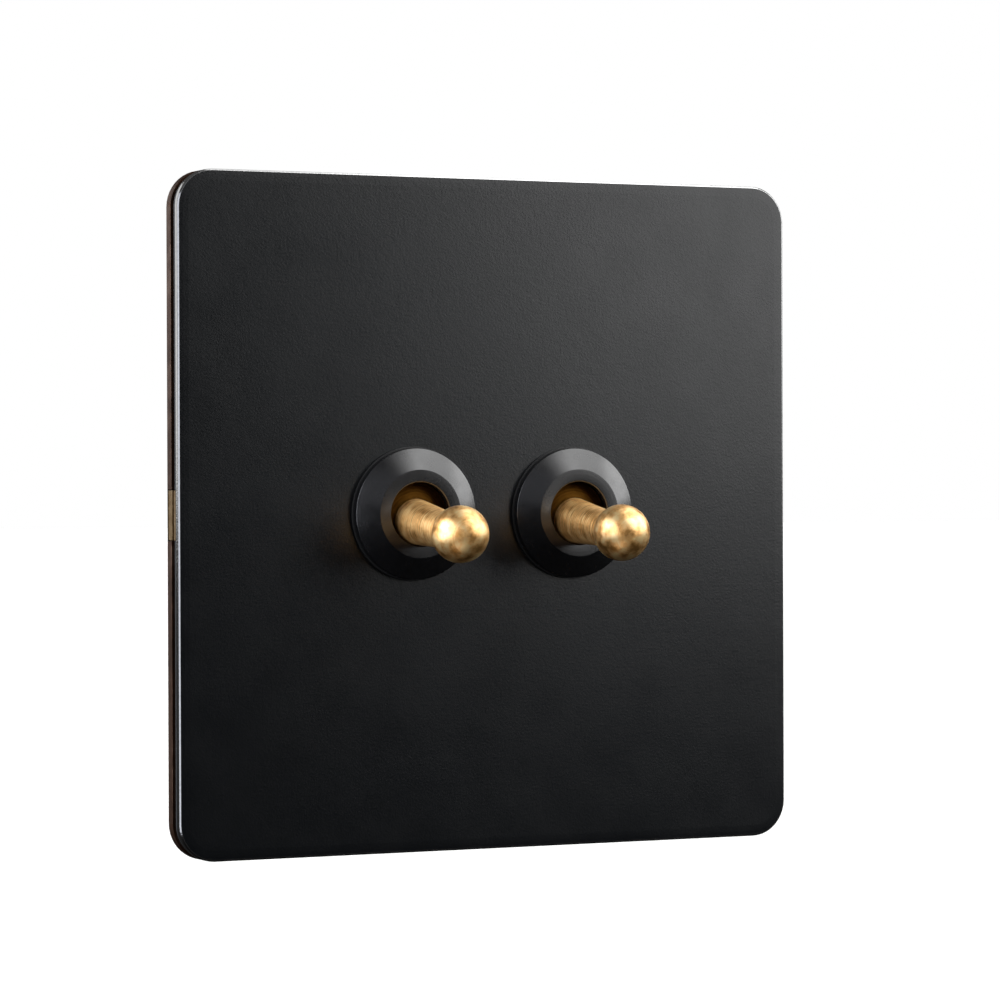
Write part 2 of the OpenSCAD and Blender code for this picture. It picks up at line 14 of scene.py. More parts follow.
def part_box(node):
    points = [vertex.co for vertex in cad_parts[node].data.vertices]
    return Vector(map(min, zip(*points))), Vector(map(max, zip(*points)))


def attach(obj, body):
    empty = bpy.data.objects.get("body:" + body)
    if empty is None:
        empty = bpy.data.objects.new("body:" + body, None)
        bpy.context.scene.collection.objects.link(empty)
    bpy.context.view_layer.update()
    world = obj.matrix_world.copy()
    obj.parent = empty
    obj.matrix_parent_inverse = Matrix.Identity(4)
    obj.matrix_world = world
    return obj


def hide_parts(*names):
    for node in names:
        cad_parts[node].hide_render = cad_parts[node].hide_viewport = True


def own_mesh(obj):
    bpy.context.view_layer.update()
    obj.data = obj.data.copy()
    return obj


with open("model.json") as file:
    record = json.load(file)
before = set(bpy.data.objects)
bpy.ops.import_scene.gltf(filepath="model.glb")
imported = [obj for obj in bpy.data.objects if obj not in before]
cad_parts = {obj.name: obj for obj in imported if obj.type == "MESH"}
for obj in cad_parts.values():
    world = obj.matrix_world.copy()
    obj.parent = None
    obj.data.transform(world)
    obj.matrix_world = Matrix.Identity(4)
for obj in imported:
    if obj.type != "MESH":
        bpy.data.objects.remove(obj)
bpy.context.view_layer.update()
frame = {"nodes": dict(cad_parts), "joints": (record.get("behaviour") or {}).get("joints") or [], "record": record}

MM = 0.001
TURNED = "turned"
POLISHED = "polished"
SIDES = ("left", "right")
SHARP_ANGLE = 32
joints = {joint["name"]: joint for joint in frame["joints"]}

# ---- driving sizes, in millimetres, as in the CAD ----

CORNER_R = 4.7
PLATE_BEVEL = 0.18
BUSHING_HOLE_R = 7.1
# The plate's face rolls down by EDGE_ROLL_DROP over EDGE_ROLL all round, and its edges have a small radius.
EDGE_ROLL = 1.4
EDGE_ROLL_DROP = 0.05
EDGE_ROUND = 0.05
# The share of the plate's thickness, from the rear, where its edge is black like its face.
EDGE_PAINTED = 0.15
# How far the flat stretches beside the plate's rear edges and round its holes reach.
PLATE_BACK_W = 1.0
HOLE_RING_W = 0.4

COLLAR_R = 8.32
COLLAR_FACE_R = 5.6
COLLAR_BORE_R = 4.05
COLLAR_LIP = 0.12
COLLAR_SIDE_H = 1.13
COLLAR_H = 2.47
COLLAR_THREAD_R = 7.05
COLLAR_STEP_H = 1.5
COLLAR_SEAM_H = 0.6
WASHER_T = 0.25

BALL_R = 3.58
BALL_REACH = 22.3
STICK_ROOT_R = 2.9
STICK_NECK_R = 2.2
SHIELD_R = 9.3
SHIELD_EDGE_R = 5.0
SHIELD_RIM_T = 0.06
SHIELD_RIM_IN = 0.08
BOSS_R = 2.8
TANG_R = 2.0
TANG_END = 5.0
BARREL_R = 2.2
BARREL_L = 10.6
PIN_BORE_R = 0.95
CHAMFER = 0.2
# The groove under the ball and the flare at the stick's foot, as steps (r, z) from where the stick meets
# the ball and the shield.
GROOVE = ((-0.12, -0.02), (-0.1, -0.1), (0, -0.16))
FOOT = ((0, 0.2), (0.04, 0.07))
# The tool's feed marks on the stick: their depth and spacing, and waves of (share, length, phase).
FEED_DEPTH = 0.006
FEED_STEP = 0.045
FEED_WAVES = ((0.6, 0.46, 0), (0.4, 0.29, 1))

SPRING_LOW = 5.98
SPRING_HIGH = 8.42
SPRING_COIL_R = 1.12
SPRING_WIRE_R = 0.18
SPRING_TURNS = 5


# ---- places, from the frame ----

def gang_x(side):
    """The x of one gang's axis."""
    low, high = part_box("collar_" + side)
    return (low.x + high.x) / 2


def lever_frame(side):
    """The place of one lever: its origin at the pivot, with +Z along the lever to its ball."""
    pivot = Vector(joints[f"lever_{side}_tilt"]["pos_m"])
    z_axis = Vector(joints[f"plunger_{side}_slide"]["axis"]).normalized()
    x_axis = Vector((1, 0, 0))
    turn = Matrix((x_axis, z_axis.cross(x_axis), z_axis)).transposed()
    return Matrix.Translation(pivot) @ turn.to_4x4()


def facing_room(x, y, z):
    """A place at a point, with +Z towards the room and +Y up."""
    return Matrix.Translation((x, y, z)) @ Matrix.Rotation(math.pi / 2, 4, "X")


# ---- mesh code ----

def rounded(corners, steps=5):
    """An outline whose corners, given as (r, z, fillet), are rounded by arcs. Its two ends stay sharp."""
    outline = [corners[0][:2]]
    for before, corner, after in zip(corners, corners[1:], corners[2:]):
        point = Vector(corner[:2])
        way_in = Vector(before[:2]) - point
        way_out = Vector(after[:2]) - point
        fillet = corner[2]
        if fillet == 0:
            outline.append(corner[:2])
            continue
        half = way_in.angle(way_out) / 2
        tangent = min(fillet / math.tan(half), 0.49 * way_in.length, 0.49 * way_out.length)
        start = point + way_in.normalized() * tangent
        end = point + way_out.normalized() * tangent
        inwards = (way_in.normalized() + way_out.normalized()).normalized()
        centre = point + inwards * (tangent / math.cos(half))
        sweep = (start - centre).angle_signed(end - centre)
        for i in range(steps + 1):
            spoke = (start - centre).copy()
            spoke.rotate(Matrix.Rotation(-sweep * i / steps, 2))
            outline.append(tuple(centre + spoke))
    outline.append(corners[-1][:2])
    return outline


def arc(centre, radius, start, end, steps):
    """Points (r, z) round a centre, at angles in degrees from the +Z axis."""
    angles = [math.radians(start + (end - start) * i / steps) for i in range(steps + 1)]
    return [(centre[0] + radius * math.sin(a), centre[1] + radius * math.cos(a)) for a in angles]


def new_piece(name, bm, place, sharp=SHARP_ANGLE):
    """Makes an object of a bmesh that is drawn in millimetres, with its mesh at its place in the frame."""
    bmesh.ops.recalc_face_normals(bm, faces=bm.faces)
    mesh = bpy.data.meshes.new(name)
    bm.to_mesh(mesh)
    bm.free()
    mesh.transform(place @ Matrix.Scale(MM, 4))
    mesh.shade_smooth()
    mesh.set_sharp_from_angle(angle=math.radians(sharp))
    piece = bpy.data.objects.new(name, mesh)
    bpy.context.scene.collection.objects.link(piece)
    return piece


def turned(outline, segments, closed=False, marks=()):
    """A bmesh of an outline of (r, z) turned about Z. Points with r = 0 become one pole each.

    Its UV map, TURNED, runs once round in U and along the outline, in millimetres, in V. Marks give
    its POLISHED value: up to a point's number, each as (number, value). It is 0 after the last.
    """
    bm = bmesh.new()
    uv = bm.loops.layers.uv.new(TURNED)
    polished = bm.verts.layers.float.new(POLISHED)
    rings, lengths = [], []
    for r, z in outline:
        step = math.dist((r, z), outline[len(rings) - 1]) if rings else 0
        lengths.append((lengths[-1] if lengths else 0) + step)
        count = segments if r > 1e-6 else 1
        turns = [2 * math.pi * k / segments for k in range(count)]
        ring = [bm.verts.new((r * math.cos(a), r * math.sin(a), z)) for a in turns]
        values = [value for number, value in marks if len(rings) < number]
        for vert in ring:
            vert[polished] = values[0] if values else 0
        rings.append(ring)
    spans = list(range(len(rings) - 1)) + ([-1] if closed else [])
    for i in spans:
        low, high = rings[i], rings[i + 1]
        for k in range(segments):
            corners = {}
            for ring, v, step in ((low, lengths[i], k), (low, lengths[i], k + 1),
                                  (high, lengths[i + 1], k + 1), (high, lengths[i + 1], k)):
                corners.setdefault(ring[step % len(ring)], (step / segments, v))
            if len(corners) < 3:
                continue
            face = bm.faces.new(corners)
            for loop, spot in zip(face.loops, corners.values()):
                loop[uv].uv = spot
    return bm


def cut_and_join(piece, joined=(), cut=()):
    """Joins other solids to a piece and cuts others out of it, and leaves one clean mesh."""
    for others, operation in ((joined, "UNION"), (cut, "DIFFERENCE")):
        for other in others:
            modifier = piece.modifiers.new("solid", "BOOLEAN")
            modifier.operation = operation
            modifier.solver = "EXACT"
            modifier.object = other
    bpy.context.view_layer.update()
    graph = bpy.context.evaluated_depsgraph_get()
    mesh = bpy.data.meshes.new_from_object(piece.evaluated_get(graph))
    piece.modifiers.clear()
    piece.data = mesh
    for other in (*joined, *cut):
        bpy.data.objects.remove(other)
    mesh.set_sharp_from_angle(angle=math.radians(SHARP_ANGLE))
    return piece


def rounded_square(half, radius, steps=10):
    """The points of a square outline with round corners, counter-clockwise from its right side."""
    points = []
    for quarter in range(4):
        turn = Matrix.Rotation(quarter * math.pi / 2, 2)
        for i in range(steps + 1):
            a = i / steps * math.pi / 2
            corner = Vector((half - radius + radius * math.cos(a), half - radius + radius * math.sin(a)))
            points.append(turn @ corner)
    return points


def ring_faces(bm, low, high):
    """The strip of faces between two rings with the same number of points."""
    for k in range(len(low)):
        n = (k + 1) % len(low)
        bm.faces.new((low[k], low[n], high[n], high[k]))


def loop_edges(bm, ring):
    """The edges round one ring of points."""
    return [bm.edges.get((ring[k], ring[(k + 1) % len(ring)])) for k in range(len(ring))]


# ---- pieces ----

def plate_section(depth):
    """The front plate's edge from its rear face to its front face, as (inset, height)."""
    return rounded([
        (PLATE_BACK_W, 0, 0),
        (0, 0, EDGE_ROUND),
        (0, EDGE_PAINTED * depth, 0),
        (0, EDGE_PAINTED * depth + EDGE_ROUND, 0),
        (0, depth - EDGE_ROLL_DROP - PLATE_BEVEL, 2 * EDGE_ROUND),
        (PLATE_BEVEL, depth - EDGE_ROLL_DROP, EDGE_ROUND),
        (PLATE_BEVEL + EDGE_ROUND, depth - 0.96 * EDGE_ROLL_DROP, 0),
        (EDGE_ROLL / 2, depth - 0.4 * EDGE_ROLL_DROP, EDGE_ROLL / 2),
        (EDGE_ROLL, depth, EDGE_ROLL / 2),
        (2 * EDGE_ROLL, depth, 0),
    ], steps=4)


def hole_rings(bm, centre, depth, points=96):
    """The rings of points down the wall of one bushing's hole, from its rear face to its front face."""
    wall = rounded([
        (BUSHING_HOLE_R + HOLE_RING_W, 0, 0),
        (BUSHING_HOLE_R, 0, EDGE_ROUND),
        (BUSHING_HOLE_R, depth, EDGE_ROUND),
        (BUSHING_HOLE_R + HOLE_RING_W, depth, 0),
    ], steps=2)
    turns = [2 * math.pi * k / points for k in range(points)]
    return [
        [bm.verts.new((centre + r * math.cos(a), r * math.sin(a), height)) for a in turns]
        for r, height in wall
    ]


def face_plate():
    """The pressed front plate: a rolled face, a bevel with soft edges and two holes for the bushings."""
    low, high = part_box("face_plate")
    half = (high.x - low.x) / 2 / MM
    depth = (high.y - low.y) / MM
    painted_h = (EDGE_PAINTED + 0.01) * depth
    bm = bmesh.new()
    polished = bm.verts.layers.float.new(POLISHED)
    rings = []
    for inset, height in plate_section(depth):
        outline = rounded_square(half - inset, CORNER_R - inset)
        ring = [bm.verts.new((x, y, height)) for x, y in outline]
        bare = inset < PLATE_BEVEL + 0.6 * EDGE_ROUND and height > painted_h
        for vert in ring:
            vert[polished] = 1 if bare else 0
        rings.append(ring)
    for below, above in zip(rings, rings[1:]):
        ring_faces(bm, below, above)
    fronts, backs = [rings[-1]], [rings[0]]
    for side in SIDES:
        walls = hole_rings(bm, gang_x(side) / MM, depth)
        for below, above in zip(walls, walls[1:]):
            ring_faces(bm, below, above)
        fronts.append(walls[-1])
        backs.append(walls[0])
    for loops in (fronts, backs):
        edges = [edge for ring in loops for edge in loop_edges(bm, ring)]
        bmesh.ops.triangle_fill(bm, edges=edges, use_beauty=True)
    piece = new_piece("face_plate_pressed", bm, facing_room(0, high.y, 0), sharp=50)
    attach(piece, "switch_body")
    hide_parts("face_plate")
    return piece


def collar(side):
    """A turned ring nut: straight side, cone, flat ring and a chamfered bore, all with soft edges."""
    outline = rounded([
        (COLLAR_THREAD_R, COLLAR_SEAM_H, 0),
        (COLLAR_THREAD_R, WASHER_T, 0.1),
        (COLLAR_R, WASHER_T, 0.06),
        (COLLAR_R, COLLAR_SIDE_H, 0.1),
        (COLLAR_FACE_R, COLLAR_H, 0.12),
        (COLLAR_BORE_R + COLLAR_LIP, COLLAR_H, 0.04),
        (COLLAR_BORE_R, COLLAR_H - COLLAR_LIP, 0.04),
        (COLLAR_BORE_R, COLLAR_STEP_H, 0.05),
        (COLLAR_THREAD_R, COLLAR_STEP_H, 0.1),
        (COLLAR_THREAD_R, COLLAR_SEAM_H, 0),
    ], steps=5)[:-1]
    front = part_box("face_plate")[0].y
    bm = turned(outline, 160, closed=True)
    piece = new_piece("collar_turned_" + side, bm, facing_room(gang_x(side), front, 0))
    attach(piece, "switch_body")
    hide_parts("collar_" + side)
    return piece


def feed_marks(start, end):
    """A straight turned wall from one (r, z) to another, with the fine waves of the tool's feed."""
    rows = round(math.dist(start, end) / FEED_STEP)
    points = []
    for i in range(1, rows):
        r = start[0] + (end[0] - start[0]) * i / rows
        z = start[1] + (end[1] - start[1]) * i / rows
        waves = (share * math.sin(2 * math.pi * z / length + phase) for share, length, phase in FEED_WAVES)
        points.append((r + FEED_DEPTH * sum(waves), z))
    return points


def lever_outline():
    """The outline of a lever from its ball to the end of its tang, and its POLISHED marks."""
    neck_angle = 180 - math.degrees(math.asin(STICK_NECK_R / BALL_R))
    groove_z = BALL_REACH - math.sqrt(BALL_R ** 2 - STICK_NECK_R ** 2)
    root_z = math.sqrt(SHIELD_R ** 2 - STICK_ROOT_R ** 2)
    edge_angle = math.degrees(math.asin(SHIELD_EDGE_R / SHIELD_R))
    root_angle = math.degrees(math.asin(STICK_ROOT_R / SHIELD_R))
    edge_z = math.sqrt(SHIELD_R ** 2 - SHIELD_EDGE_R ** 2)
    back_z = edge_z - SHIELD_RIM_T
    outline = [(0, BALL_REACH + BALL_R)] + arc((0, BALL_REACH), BALL_R, 2, neck_angle + 0.8, 76)
    ball_end = len(outline)
    outline += [(STICK_NECK_R + r, groove_z + z) for r, z in GROOVE]
    foot = [(STICK_ROOT_R + r, root_z + z) for r, z in FOOT]
    outline += feed_marks(outline[-1], foot[0]) + foot
    marks = ((ball_end, 1.0), (len(outline) - 1, 0.6))
    outline += arc((0, 0), SHIELD_R, root_angle + 1.2, edge_angle, 14)
    outline += [(SHIELD_EDGE_R - SHIELD_RIM_IN, back_z), (BOSS_R, back_z), (BOSS_R, 0), (TANG_R, 0)]
    outline += [(TANG_R, CHAMFER - TANG_END), (TANG_R - CHAMFER, -TANG_END), (0, -TANG_END)]
    return outline, marks


def lever(side):
    """A turned brass lever: ball, stick, domed shield and tang, with a bored barrel across for its pin."""
    place = lever_frame(side)
    across = place @ Matrix.Rotation(math.pi / 2, 4, "Y")
    outline, marks = lever_outline()
    body = new_piece("lever_turned_" + side, turned(outline, 112, marks=marks), place)
    half = BARREL_L / 2
    barrel_outline = [
        (0, -half), (BARREL_R - CHAMFER, -half), (BARREL_R, CHAMFER - half),
        (BARREL_R, half - CHAMFER), (BARREL_R - CHAMFER, half), (0, half)
    ]
    barrel = new_piece("barrel", turned(barrel_outline, 64), across)
    bore_outline = [(0, -half - 1), (PIN_BORE_R, -half - 1), (PIN_BORE_R, half + 1), (0, half + 1)]
    bore = new_piece("bore", turned(bore_outline, 48), across)
    piece = cut_and_join(body, joined=(barrel,), cut=(bore,))
    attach(piece, "lever_" + side)
    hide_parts("lever_" + side)
    return piece


def plunger_spring(side):
    """A coil of round wire between the plunger and the end of its bore."""
    rows_per_turn, sides = 40, 14
    rows = SPRING_TURNS * rows_per_turn
    bm = bmesh.new()
    rings = []
    for i in range(rows + 1):
        a = 2 * math.pi * SPRING_TURNS * i / rows
        z = -SPRING_HIGH + (SPRING_HIGH - SPRING_LOW) * i / rows
        outwards = Vector((math.cos(a), math.sin(a), 0))
        ring = []
        for k in range(sides):
            b = 2 * math.pi * k / sides
            reach = SPRING_COIL_R + SPRING_WIRE_R * math.cos(b)
            ring.append(bm.verts.new(outwards * reach + Vector((0, 0, z + SPRING_WIRE_R * math.sin(b)))))
        rings.append(ring)
    for low, high in zip(rings, rings[1:]):
        ring_faces(bm, low, high)
    for ring in (rings[0], rings[-1]):
        bm.faces.new(ring)
    place = lever_frame(side)
    piece = new_piece("plunger_coil_" + side, bm, place, sharp=60)
    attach(piece, "lever_" + side)
    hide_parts("plunger_spring_" + side)
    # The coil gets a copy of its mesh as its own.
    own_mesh(piece)
    return piece


# ---- carried-over CAD nodes ----

def dress(node, edge):
    """Softens a CAD node's edges, by a width in millimetres: weld, bevel and weighted normals."""
    piece = frame["nodes"][node]
    weld = piece.modifiers.new("weld", "WELD")
    weld.merge_threshold = 1e-6
    bevel = piece.modifiers.new("soft_edges", "BEVEL")
    bevel.width = edge * MM
    bevel.segments = 2
    bevel.limit_method = "ANGLE"
    bevel.angle_limit = math.radians(35)
    normals = piece.modifiers.new("even_normals", "WEIGHTED_NORMAL")
    normals.keep_sharp = True


# ---- materials ----

class Recipe:
    """One procedural material: a Principled shader and the texture nodes that feed it."""

    def __init__(self, name, **fixed):
        """Starts a material whose named shader sockets have fixed values."""
        self.material = bpy.data.materials.new(name)
        self.material.use_nodes = True
        self.tree = self.material.node_tree
        self.shader = self.tree.nodes["Principled BSDF"]
        self.place = self.node("ShaderNodeTexCoord").outputs["Object"]
        for socket, value in fixed.items():
            self.shader.inputs[socket.replace("_", " ")].default_value = value

    def node(self, kind, inputs=None, **settings):
        """Adds a node, links or sets its inputs and sets its other properties."""
        made = self.tree.nodes.new(kind)
        for name, value in settings.items():
            setattr(made, name, value)
        for name, value in (inputs or {}).items():
            if isinstance(value, bpy.types.NodeSocket):
                self.tree.links.new(value, made.inputs[name])
            else:
                made.inputs[name].default_value = value
        return made

    def feed(self, socket, value):
        """Links a texture's output to a socket of the shader."""
        self.tree.links.new(value, self.shader.inputs[socket])

    def math(self, operation, a, b):
        """One sum on two numbers."""
        return self.node("ShaderNodeMath", {0: a, 1: b}, operation=operation).outputs[0]

    def mix(self, factor, a, b):
        """A number that goes from a to b as the factor goes from 0 to 1."""
        return self.node("ShaderNodeMix", {0: factor, 2: a, 3: b}).outputs[0]

    def noise(self, size_mm, detail=3.0, stretch=(1, 1, 1), contrast=0.5):
        """Noise with features of a given size, drawn out along an axis by a stretch below 1."""
        scaled = self.node("ShaderNodeVectorMath", {0: self.place, 1: stretch}, operation="MULTIPLY")
        inputs = {"Vector": scaled.outputs[0], "Scale": 1 / (size_mm * MM)}
        inputs.update({"Detail": detail, "Roughness": contrast})
        return self.node("ShaderNodeTexNoise", inputs).outputs["Fac"]

    def rings(self, size_mm, detail=2.0):
        """Noise that is the same all the way round a turned piece, as a lathe leaves it."""
        outline = self.node("ShaderNodeUVMap", uv_map=TURNED).outputs["UV"]
        along = self.node("ShaderNodeSeparateXYZ", {0: outline}).outputs["Y"]
        inputs = {"W": along, "Scale": 1 / size_mm, "Detail": detail}
        return self.node("ShaderNodeTexNoise", inputs, noise_dimensions="1D").outputs["Fac"]

    def polished(self):
        """1 where a piece is marked as polished and 0 elsewhere."""
        return self.node("ShaderNodeAttribute", attribute_name=POLISHED).outputs["Fac"]

    def between(self, factor, low, high, start=0.3, end=0.7):
        """Spreads a noise over a range of numbers."""
        inputs = {"Value": factor, "From Min": start, "From Max": end, "To Min": low, "To Max": high}
        return self.node("ShaderNodeMapRange", inputs).outputs["Result"]

    def colours(self, factor, *stops):
        """A colour ramp with stops given as (place, colour)."""
        made = self.node("ShaderNodeValToRGB", {"Fac": factor})
        ramp = made.color_ramp
        while len(ramp.elements) < len(stops):
            ramp.elements.new(0.5)
        for element, (at, colour) in zip(ramp.elements, stops):
            element.position = at
            element.color = (*colour, 1)
        return made.outputs["Color"]

    def bump(self, *heights):
        """Stacks bumps given as (height, depth in millimetres)."""
        normal = None
        for height, depth_mm in heights:
            inputs = {"Height": height, "Distance": depth_mm * MM, "Strength": 1.0}
            if normal is not None:
                inputs["Normal"] = normal
            normal = self.node("ShaderNodeBump", inputs).outputs["Normal"]
        self.feed("Normal", normal)


def grey(value, blue=0.0):
    """A grey, with a little more blue if wanted."""
    return (value, value, value + blue)


def black_paint():
    """Fine-grained matt black paint on the pressed plate, cut away to bright metal round its edge."""
    paint = Recipe("black_paint", Specular_IOR_Level=0.5)
    grain = paint.noise(0.12, 3)
    edge = paint.between(paint.polished(), 0, 1, 0.3, 0.6)
    black = paint.colours(grain, (0.3, (0.0003, 0.0008, 0.0015)), (0.7, (0.0018, 0.003, 0.005)))
    metal = paint.colours(paint.noise(0.5, 3), (0.3, grey(0.50)), (0.7, grey(0.62)))
    colour = paint.node("ShaderNodeMix", {0: edge, 6: black, 7: metal}, data_type="RGBA")
    paint.feed("Base Color", colour.outputs[2])
    paint.feed("Metallic", edge)
    paint.feed("Roughness", paint.mix(edge, paint.between(paint.noise(6, 4), 0.275, 0.315), 0.14))
    paint.bump((paint.noise(0.9, 2), 0.008), (paint.noise(0.28, 3), 0.014), (grain, 0.005))
    return paint.material


def collar_paint():
    """Smoother black paint over turned metal: the lathe's rings still show through it."""
    paint = Recipe("collar_paint", Specular_IOR_Level=0.65)
    rings = paint.rings(0.22)
    cloud = paint.noise(0.3, 3)
    paint.feed("Base Color", paint.colours(cloud, (0.3, grey(0.003)), (0.7, grey(0.007, 0.001))))
    paint.feed("Roughness", paint.between(paint.noise(1.5, 3), 0.22, 0.28))
    paint.bump((rings, 0.003), (paint.noise(0.15, 2), 0.0015))
    return paint.material


def satin_brass():
    """Turned brass: broken rings of lighter and darker metal, smudges, and a painted shade inside the collar,
    where the shield is coloured dark brown to black for the shade in the bore.

    The mark POLISHED is 1 on the ball, lower on the stick and 0 on the shield and tang, which take the painted
    shade.
    """
    brass = Recipe(
        "satin_brass", Metallic=1.0, Anisotropic=0.35, Anisotropic_Rotation=0.25, Coat_Roughness=0.3)
    round_about = brass.node("ShaderNodeTangent", direction_type="UV_MAP", uv_map=TURNED)
    brass.feed("Tangent", round_about.outputs["Tangent"])
    smudge = brass.noise(1.3, 4)
    patches = brass.between(brass.noise(2, 3), 0, 1, 0.4, 0.6)
    rings = brass.mix(patches, brass.rings(0.3, 3), brass.rings(0.17, 3))
    # rubbed is 1 on the ball and stick and 0 on the shield and tang, which get the painted shade below.
    rubbed = brass.between(brass.polished(), 0, 1, 0.1, 0.4)
    on_stick = brass.between(brass.polished(), 1, 0.08, 0.7, 0.95)
    tone = brass.mix(brass.between(on_stick, 0.9, 0.4, 0, 1), rings, smudge)
    bare = brass.colours(
        tone, (0.38, (0.56, 0.27, 0.065)), (0.5, (0.95, 0.56, 0.20)), (0.62, (1.0, 0.74, 0.36)))
    # Painted shade: the shield inside the collar is coloured dark brown to black in place of the shade in the
    # bore.
    painted_bore_shade = brass.colours(tone, (0.3, (0.045, 0.018, 0.002)), (0.7, (0.15, 0.066, 0.01)))
    colour = brass.node("ShaderNodeMix", {0: rubbed, 6: painted_bore_shade, 7: bare}, data_type="RGBA")
    brass.feed("Base Color", colour.outputs[2])
    satin = brass.between(brass.polished(), 0.56, 0.46, 0.7, 0.95)
    brass.feed("Roughness", brass.math("ADD", satin, brass.between(smudge, -0.04, 0.04)))
    brass.feed("Coat Weight", brass.math("MULTIPLY", rubbed, 0.9))
    brass.bump((brass.math("MULTIPLY", rings, on_stick), 0.034), (brass.noise(0.6, 4), 0.026))
    return brass.material


def plain_brass():
    """Stamped and sawn brass with rolling marks and a little tarnish."""
    brass = Recipe("plain_brass", Metallic=1.0)
    tarnish = brass.noise(1.8, 4)
    marks = brass.noise(0.12, 3, (1, 1, 0.08))
    brass.feed("Base Color", brass.colours(
        tarnish, (0.3, (0.52, 0.34, 0.13)), (0.5, (0.78, 0.55, 0.24)), (0.75, (0.85, 0.64, 0.33))))
    brass.feed("Roughness", brass.between(tarnish, 0.38, 0.26))
    brass.bump((marks, 0.003))
    return brass.material


def dark_brass():
    """Brass of the bushings, coloured dark brown to near black in cloudy tones as a painted shade for the inside
    of the collar's bore.
    """
    brass = Recipe("dark_brass", Metallic=0.9)
    cloud = brass.noise(1.2, 4)
    # Painted shade: the whole bushing is coloured almost black for the shade inside the collar's bore.
    brass.feed("Base Color", brass.colours(cloud, (0.35, (0.03, 0.02, 0.012)), (0.75, (0.10, 0.06, 0.028))))
    brass.feed("Roughness", brass.between(cloud, 0.36, 0.52))
    brass.bump((brass.noise(0.15, 3), 0.003))
    return brass.material


def clip_brass():
    """Dull sheared brass of the side clips."""
    brass = Recipe("clip_brass", Metallic=1.0)
    tarnish = brass.noise(0.9, 4)
    brass.feed("Base Color", brass.colours(
        tarnish, (0.3, (0.12, 0.075, 0.032)), (0.5, (0.20, 0.135, 0.065)), (0.75, (0.29, 0.21, 0.12))))
    brass.feed("Roughness", brass.between(tarnish, 0.5, 0.4))
    brass.bump((brass.noise(0.08, 3, (1, 0.1, 1)), 0.003))
    return brass.material


def bronze():
    """Antique bronze finish of the base frame, rubbed lighter in places."""
    metal = Recipe("bronze", Metallic=0.9)
    rubbed = metal.noise(2.2, 5)
    metal.feed("Base Color", metal.colours(
        rubbed, (0.3, (0.027, 0.013, 0.007)), (0.5, (0.058, 0.028, 0.016)), (0.75, (0.115, 0.066, 0.043))))
    metal.feed("Roughness", metal.between(rubbed, 0.5, 0.36))
    metal.bump((metal.noise(0.15, 3), 0.004))
    return metal.material


def black_nylon():
    """Dull moulded nylon of the liner and the collar washers."""
    nylon = Recipe("black_nylon", Specular_IOR_Level=0.4)
    grain = nylon.noise(0.2, 4)
    nylon.feed("Base Color", nylon.colours(grain, (0.3, grey(0.008)), (0.7, grey(0.016))))
    nylon.feed("Roughness", nylon.between(nylon.noise(2, 3), 0.5, 0.62))
    nylon.bump((grain, 0.006))
    return nylon.material


def zinc_steel():
    """Zinc-plated steel with a faint mottled spangle and drawing marks."""
    steel = Recipe("zinc_steel", Metallic=1.0)
    spangle = steel.node("ShaderNodeTexVoronoi", {"Vector": steel.place, "Scale": 1 / (1.4 * MM)})
    cloud = steel.noise(3, 4)
    spangled = steel.math("MULTIPLY", spangle.outputs["Color"], 0.35)
    tone = steel.math("ADD", spangled, steel.math("MULTIPLY", cloud, 0.65))
    steel.feed("Base Color", steel.colours(tone, (0.25, (0.50, 0.51, 0.54)), (0.6, (0.72, 0.73, 0.74))))
    steel.feed("Roughness", steel.between(cloud, 0.3, 0.42))
    steel.bump((steel.noise(0.1, 3, (0.1, 1, 1)), 0.002))
    return steel.material


def spring_steel():
    """Bright drawn spring wire."""
    steel = Recipe("spring_steel", Metallic=1.0)
    marks = steel.noise(0.08, 3, (1, 1, 0.2))
    steel.feed("Base Color", steel.colours(marks, (0.3, (0.55, 0.55, 0.57)), (0.7, (0.78, 0.78, 0.79))))
    steel.feed("Roughness", steel.between(marks, 0.2, 0.32))
    steel.bump((marks, 0.001))
    return steel.material


def silver():
    """Silver contact faces, with a little tarnish."""
    metal = Recipe("silver_tips", Metallic=1.0)
    tarnish = metal.noise(0.6, 4)
    metal.feed("Base Color", metal.colours(tarnish, (0.3, (0.62, 0.59, 0.54)), (0.6, (0.90, 0.89, 0.87))))
    metal.feed("Roughness", metal.between(tarnish, 0.34, 0.18))
    metal.bump((metal.noise(0.1, 2), 0.001))
    return metal.material


def white_nylon():
    """Slightly translucent natural nylon of the carriers."""
    nylon = Recipe("white_nylon", Subsurface_Weight=0.25, Subsurface_Scale=0.0008)
    cloud = nylon.noise(1.2, 3)
    nylon.feed("Base Color", nylon.colours(cloud, (0.3, (0.70, 0.67, 0.58)), (0.7, (0.82, 0.80, 0.73))))
    nylon.feed("Roughness", nylon.between(cloud, 0.36, 0.46))
    nylon.bump((nylon.noise(0.25, 3), 0.002))
    return nylon.material


def moulding():
    """Urea moulding of the housing, with a spark-eroded grain."""
    plastic = Recipe("moulding", Specular_IOR_Level=0.5)
    cloud = plastic.noise(9, 4)
    grain = plastic.noise(0.22, 4, contrast=0.6)
    plastic.feed("Base Color", plastic.colours(cloud, (0.3, (0.66, 0.63, 0.56)), (0.7, (0.76, 0.73, 0.66))))
    plastic.feed("Roughness", plastic.between(grain, 0.42, 0.56))
    plastic.bump((grain, 0.012), (plastic.noise(4, 2), 0.02))
    return plastic.material


def green_lacquer():
    """Green lacquer that marks the earth screw, thin over its steel."""
    lacquer = Recipe("green_lacquer", Metallic=0.6, Coat_Weight=0.5, Coat_Roughness=0.2)
    thin = lacquer.noise(0.5, 4)
    lacquer.feed("Base Color", lacquer.colours(thin, (0.3, (0.07, 0.22, 0.05)), (0.7, (0.22, 0.42, 0.16))))
    lacquer.feed("Roughness", lacquer.between(thin, 0.3, 0.42))
    lacquer.bump((lacquer.noise(0.15, 2), 0.003))
    return lacquer.material


